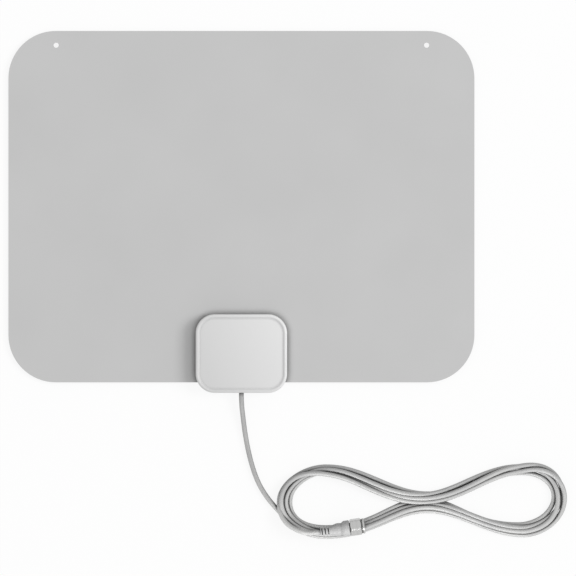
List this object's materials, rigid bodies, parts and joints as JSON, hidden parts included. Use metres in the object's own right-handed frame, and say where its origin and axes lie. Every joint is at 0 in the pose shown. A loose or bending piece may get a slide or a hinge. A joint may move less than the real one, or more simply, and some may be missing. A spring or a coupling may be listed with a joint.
{
  "type": "flat indoor tv antenna",
  "caption": "Thin rectangular indoor TV antenna sheet with a raised terminal pod at its lower edge and a hanked coaxial lead ending in a screw-on plug.",
  "frame": {"origin": "centre of the antenna's footprint on the surface under it, without the cable", "axes": "+X along the sheet's width to the right, +Y up the sheet away from the pod, +Z out of the front face"},
  "size_m": [0.3657, 0.3326, 0.0175],
  "materials": {
    "sheet_film": "matte",
    "foil": "satin",
    "pod_plastic": "satin",
    "screw_steel": "satin",
    "board": "satin",
    "contact_brass": "satin",
    "ferrite": "matte",
    "winding_wire": "gloss",
    "chip": "matte",
    "cable_jacket": "satin",
    "braid": "woven",
    "dielectric": "satin",
    "conductor": "satin",
    "boot_plastic": "matte",
    "plug_metal": "nickel plate"
  },
  "bodies": {
    "antenna": {"rear_film": "sheet_film", "front_film": "sheet_film", "left_foil_loop": "foil", "right_foil_loop": "foil", "front_cover": "pod_plastic", "rear_cover": "pod_plastic", "cover_screws": "screw_steel", "circuit_board": "board", "left_contact": "contact_brass", "right_contact": "contact_brass", "balun_core": "ferrite", "balun_windings": "winding_wire", "chip_parts": "chip", "cable_collar": "cable_jacket", "coax_braid": "braid", "coax_dielectric": "dielectric", "coax_conductor": "conductor", "braid_clamp": "contact_brass", "cable_tail": "cable_jacket", "cable_lead": "cable_jacket", "cable_hank": "cable_jacket", "plug_boot": "boot_plastic", "plug_body": "plug_metal", "plug_insulator": "dielectric", "plug_pin": "conductor"},
    "nut": {"coupling_nut": "plug_metal"}
  },
  "joints": [
    {"name": "nut_spin", "type": "hinge", "parent": "antenna", "child": "nut", "pos_m": [0.0518, -0.2091, 0.01196], "axis": [0.9893, 0.1461, 0], "continuous": true}
  ]
}
